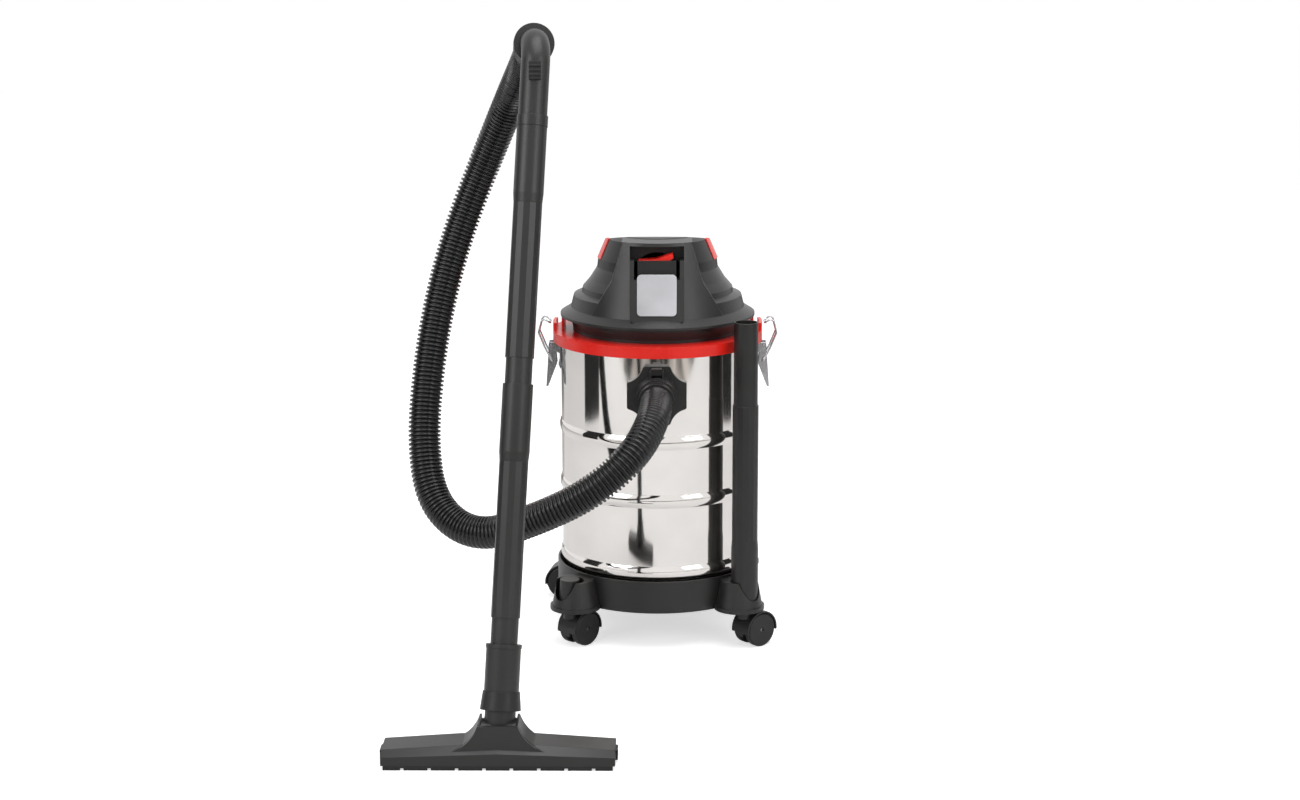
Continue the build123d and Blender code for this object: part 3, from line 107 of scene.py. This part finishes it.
def material(name, effect, dark, light, scale, depth, low, high, metal=0.0, coat=0.0, sheen=0.0, gloss=0.5):
    """A surface whose colour, gloss and bump come from one of the grain groups."""
    made = bpy.data.materials.new(name)
    made.use_nodes = True
    tree = made.node_tree
    shader = tree.nodes["Principled BSDF"]
    shader.inputs["Metallic"].default_value = metal
    shader.inputs["Coat Weight"].default_value = coat
    shader.inputs["Coat Roughness"].default_value = 0.12
    shader.inputs["Sheen Weight"].default_value = sheen
    shader.inputs["Specular IOR Level"].default_value = gloss
    surface = tree.nodes.new("ShaderNodeGroup")
    surface.node_tree = effect
    for label, value in (("Scale", scale), ("Depth", depth), ("Low", low), ("High", high)):
        surface.inputs[label].default_value = value
    ramp = tree.nodes.new("ShaderNodeValToRGB")
    for stop, position, colour in zip(ramp.color_ramp.elements, (0.3, 0.7), (dark, light)):
        stop.position = position
        stop.color = (*colour, 1)
    tree.links.new(surface.outputs["Shade"], ramp.inputs["Fac"])
    tree.links.new(ramp.outputs["Color"], shader.inputs["Base Color"])
    tree.links.new(surface.outputs["Roughness"], shader.inputs["Roughness"])
    tree.links.new(surface.outputs["Normal"], shader.inputs["Normal"])
    made.diffuse_color = (*light, 1)
    return made


def grey(value):
    return (value, value, value * 1.04)


def warm(value):
    return (value * 1.04, value, value * 0.97)


looks = {
    "drum_steel": material("polished_steel", drawn, warm(0.72), warm(0.78),
                           scale=500, depth=0.01, low=0.05, high=0.09, metal=1),
    "black_plastic": material("black_plastic", moulded, warm(0.013), warm(0.018),
                              scale=1400, depth=0.14, low=0.3, high=0.42, gloss=0.4),
    "dark_plastic": material("dark_plastic", moulded, warm(0.007), warm(0.011),
                             scale=1400, depth=0.12, low=0.34, high=0.46, gloss=0.34),
    "hose_plastic": material("hose_plastic", moulded, grey(0.004), grey(0.006),
                             scale=700, depth=0.03, low=0.13, high=0.22, gloss=0.45),
    "red_plastic": material("red_plastic", moulded, (0.72, 0.014, 0.008), (0.82, 0.02, 0.012),
                            scale=900, depth=0.05, low=0.24, high=0.34, coat=0.1, gloss=0.35),
    "badge_metal": material("badge_metal", brushed, grey(0.42), grey(0.55),
                            scale=1500, depth=0.25, low=0.28, high=0.42, metal=1),
    "rubber": material("rubber", moulded, grey(0.01), grey(0.016),
                       scale=1200, depth=0.2, low=0.6, high=0.75),
    "filter_cloth": material("filter_foam", moulded, grey(0.7), grey(0.8),
                             scale=600, depth=0.8, low=0.85, high=0.95, sheen=0.3),
    "motor_steel": material("motor_steel", drawn, grey(0.42), grey(0.52),
                            scale=700, depth=0.08, low=0.3, high=0.42, metal=1),
    "impeller_alloy": material("impeller_alloy", brushed, grey(0.66), grey(0.74),
                               scale=700, depth=0.08, low=0.26, high=0.36, metal=1),
    "carbon": material("carbon", moulded, grey(0.02), grey(0.03),
                       scale=900, depth=0.2, low=0.6, high=0.7),
    "latch_steel": material("latch_steel", drawn, grey(0.5), grey(0.62),
                            scale=700, depth=0.04, low=0.14, high=0.24, metal=1),
    "pin_steel": material("pin_steel", drawn, grey(0.5), grey(0.6),
                          scale=700, depth=0.06, low=0.24, high=0.34, metal=1),
    "wheel_plastic": material("wheel_plastic", moulded, warm(0.007), warm(0.011),
                              scale=1100, depth=0.1, low=0.3, high=0.42, gloss=0.4),
}

for part in frame["record"]["subparts"]:
    piece = frame["nodes"][part["node"]]
    piece.data.materials.clear()
    piece.data.materials.append(looks[part["material_slot"]])

# Hose: rings of its ribs, square to one smooth line through the route, which is in millimetres
hose_radius = 0.0229
hose_root = 0.0194
rib_shoulder = hose_radius - 0.0004
rib_pitch = 0.0061
rib_shape = ((0.0, hose_root), (0.28, hose_root), (0.38, rib_shoulder), (0.46, hose_radius),
             (0.74, hose_radius), (0.82, rib_shoulder), (0.94, hose_root))
ring_points = 40
route = [
    (0, -196, 384), (0, -276, 384), (-26, -338, 343), (-85, -352, 292), (-165, -340, 250),
    (-250, -305, 214), (-314, -262, 248), (-331, -225, 332), (-321, -190, 455), (-300, -160, 560),
    (-272, -138, 648), (-238, -130, 731), (-203, -152, 812), (-174.2, -225.9, 871.3), (-165.4, -293.3, 888),
]
curve = bpy.data.curves.new("hose_line", "CURVE")
curve.dimensions = "3D"
curve.resolution_u = 40
spline = curve.splines.new("NURBS")
spline.points.add(len(route) - 1)
for point, place in zip(spline.points, route):
    point.co = (*(Vector(place) / 1000), 1)
spline.order_u = 3
spline.use_endpoint_u = True
line_object = bpy.data.objects.new("hose_line", curve)
scene.collection.objects.link(line_object)
bpy.context.view_layer.update()
line_mesh = bpy.data.meshes.new_from_object(line_object)
line = [vertex.co.copy() for vertex in line_mesh.vertices]
bpy.data.objects.remove(line_object)
bpy.data.meshes.remove(line_mesh)
reach = [0.0]
for here, there in zip(line, line[1:]):
    reach.append(reach[-1] + (there - here).length)


def along(distance):
    """Place and direction on the hose's line."""
    index = next((i for i, value in enumerate(reach[1:]) if value >= distance), len(line) - 2)
    share = (distance - reach[index]) / (reach[index + 1] - reach[index])
    place = line[index].lerp(line[index + 1], share)
    before = line[max(index - 1, 0)]
    after = line[min(index + 2, len(line) - 1)]
    return place, (after - before).normalized()


# The outline of the ribs is spun to a straight tube with a ring at each whole step of Z,
# and every ring is then carried to its place on the line
ribs = int(reach[-1] / rib_pitch)
skin = bmesh.new()
across = Vector((1, 0, 0))
rings = []
outline = []
for rib in range(ribs):
    for share, radius in rib_shape:
        place, way = along((rib + share) * reach[-1] / ribs)
        across = (across - way * across.dot(way)).normalized()
        turned = Matrix((across, way.cross(across), way)).transposed().to_4x4()
        outline.append(skin.verts.new((radius, 0, len(rings))))
        rings.append(Matrix.Translation(place) @ turned)
outline += [skin.edges.new(pair) for pair in zip(outline, outline[1:])]
bmesh.ops.spin(skin, geom=outline, cent=(0, 0, 0), axis=(0, 0, 1), angle=2 * pi,
               steps=ring_points, use_merge=True)
for point in skin.verts:
    point.co = rings[round(point.co.z)] @ Vector((point.co.x, point.co.y, 0))
bmesh.ops.recalc_face_normals(skin, faces=skin.faces)
hose_data = bpy.data.meshes.new("ribbed_hose")
skin.to_mesh(hose_data)
skin.free()
for face in hose_data.polygons:
    face.use_smooth = True
hose = bpy.data.objects.new("ribbed_hose", hose_data)
scene.collection.objects.link(hose)
hose_data.materials.append(looks["hose_plastic"])
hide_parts("hose")
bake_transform(hose)


# Studio: pale floor, and boards and floor ends for the steel to mirror
def board(name, corners, look):
    """A flat piece of the studio between its corners."""
    sheet = bmesh.new()
    sheet.faces.new([sheet.verts.new(corner) for corner in corners])
    data = bpy.data.meshes.new(name)
    sheet.to_mesh(data)
    sheet.free()
    made = bpy.data.objects.new(name, data)
    scene.collection.objects.link(made)
    data.materials.append(look)
    return made


def mirrored_board(name, corners, look):
    """A board that only the mirroring surfaces see, so that it hides nothing from other sides."""
    made = board(name, corners, look)
    made.visible_camera = False
    made.visible_diffuse = False
    made.visible_shadow = False


def side_board(name, out, near, far, look, foot=0.05, top=1.3):
    """An upright mirrored board at one side."""
    mirrored_board(name, [(out, near, foot), (out, far, foot), (out, far, top), (out, near, top)], look)


def backdrop_material(name, colour, camera_glow=0.0, mirror_glow=0.0):
    """A plain surface that looks brighter to the camera and in mirrors than its light makes it."""
    made = bpy.data.materials.new(name)
    made.use_nodes = True
    tree = made.node_tree
    shader = tree.nodes["Principled BSDF"]
    shader.inputs["Base Color"].default_value = (*colour, 1)
    shader.inputs["Roughness"].default_value = 0.9
    shader.inputs["Specular IOR Level"].default_value = 0.0
    shader.inputs["Emission Color"].default_value = (1, 1, 1, 1)
    rays = tree.nodes.new("ShaderNodeLightPath")
    seen = tree.nodes.new("ShaderNodeMath")
    seen.operation = "MULTIPLY"
    seen.inputs[1].default_value = camera_glow
    mirrored = tree.nodes.new("ShaderNodeMath")
    mirrored.operation = "MULTIPLY_ADD"
    mirrored.inputs[1].default_value = mirror_glow
    tree.links.new(rays.outputs["Is Camera Ray"], seen.inputs[0])
    tree.links.new(rays.outputs["Is Glossy Ray"], mirrored.inputs[0])
    tree.links.new(seen.outputs[0], mirrored.inputs[2])
    tree.links.new(mirrored.outputs[0], shader.inputs["Emission Strength"])
    return made


def streaked_material(name):
    """An end of the studio floor in uneven tones."""
    made = backdrop_material(name, (0.1, 0.1, 0.1))
    tree = made.node_tree
    place = tree.nodes.new("ShaderNodeTexCoord")
    mapping = tree.nodes.new("ShaderNodeMapping")
    mapping.inputs["Scale"].default_value = (1.6, 0.5, 1.0)
    noise = tree.nodes.new("ShaderNodeTexNoise")
    noise.inputs["Scale"].default_value = 1.3
    noise.inputs["Detail"].default_value = 2.0
    ramp = tree.nodes.new("ShaderNodeValToRGB")
    ramp.color_ramp.elements[0].position = 0.42
    ramp.color_ramp.elements[0].color = (0.03, 0.027, 0.025, 1)
    ramp.color_ramp.elements[1].position = 0.58
    ramp.color_ramp.elements[1].color = (0.6, 0.56, 0.52, 1)
    tree.links.new(place.outputs["Object"], mapping.inputs["Vector"])
    tree.links.new(mapping.outputs["Vector"], noise.inputs["Vector"])
    tree.links.new(noise.outputs["Fac"], ramp.inputs["Fac"])
    tree.links.new(ramp.outputs["Color"], tree.nodes["Principled BSDF"].inputs["Base Color"])
    return made


wide = 9
front_edge = -1.68
lift = 0.004
board("floor", [(-wide, -wide, 0), (wide, -wide, 0), (wide, wide, 0), (-wide, wide, 0)],
      backdrop_material("floor", (0.8, 0.8, 0.8), camera_glow=0.6, mirror_glow=0.05))
mirrored_board("floor_end", [(-wide, -wide, lift), (wide, -wide, lift),
                             (wide, front_edge, lift), (-wide, front_edge, lift)],
               streaked_material("floor_end"))
dark = backdrop_material("side_board", (0.03, 0.03, 0.03))
side_board("left_board", -1.35, -0.5, 0.05, dark)
side_board("right_board", 1.35, -0.35, 0.1, dark)
mirrored_board("floor_back", [(-0.5, 0.75, lift), (0.5, 0.75, lift), (5.6, wide, lift), (-5.6, wide, lift)],
               streaked_material("floor_back"))

world = bpy.data.worlds.new("studio")
scene.world = world
world.use_nodes = True
tree = world.node_tree
back = tree.nodes["Background"]
rays = tree.nodes.new("ShaderNodeLightPath")
either = tree.nodes.new("ShaderNodeMath")
either.operation = "MAXIMUM"
glow = tree.nodes.new("ShaderNodeMapRange")
glow.inputs["To Min"].default_value = 0.5
glow.inputs["To Max"].default_value = 1.0
tree.links.new(rays.outputs["Is Camera Ray"], either.inputs[0])
tree.links.new(rays.outputs["Is Glossy Ray"], either.inputs[1])
tree.links.new(either.outputs[0], glow.inputs["Value"])
tree.links.new(glow.outputs["Result"], back.inputs["Strength"])
back.inputs["Color"].default_value = (1, 1, 1, 1)


def lamp(name, place, target, width, power):
    """A square soft lamp that points at its target."""
    data = bpy.data.lights.new(name, "AREA")
    data.size = width
    data.energy = power
    made = bpy.data.objects.new(name, data)
    made.location = place
    made.rotation_euler = (Vector(target) - Vector(place)).to_track_quat("-Z", "Y").to_euler()
    scene.collection.objects.link(made)


lamp("top", (0.3, -0.8, 3.2), (0, -0.2, 0.3), width=2.4, power=60)
lamp("left", (-2.6, -2.4, 2.0), (0, -0.2, 0.4), width=1.6, power=36)
lamp("right", (2.4, -2.6, 1.8), (0, -0.2, 0.4), width=1.4, power=22)

# Camera: stand, turn and focal length, the last in pixels of the picture's width
stand = (0.02932, -3.56513, 1.12159)
pitch, yaw, roll = radians(12.292), radians(-0.656), radians(-0.113)
focal_length, picture_width = 2429.33, 1300
ahead = Vector((sin(yaw) * cos(pitch), cos(yaw) * cos(pitch), -sin(pitch)))
level = Vector((cos(yaw), -sin(yaw), 0))
rise = level.cross(ahead)
right = level * cos(roll) + rise * sin(roll)
camera_data = bpy.data.cameras.new("camera")
camera_data.sensor_fit = "HORIZONTAL"
camera_data.sensor_width = 36.0
camera_data.lens = camera_data.sensor_width * focal_length / picture_width
camera = bpy.data.objects.new("camera", camera_data)
camera.matrix_world = Matrix.Translation(stand) @ Matrix(
    (right, right.cross(ahead), -ahead)).transposed().to_4x4()
scene.collection.objects.link(camera)
scene.camera = camera
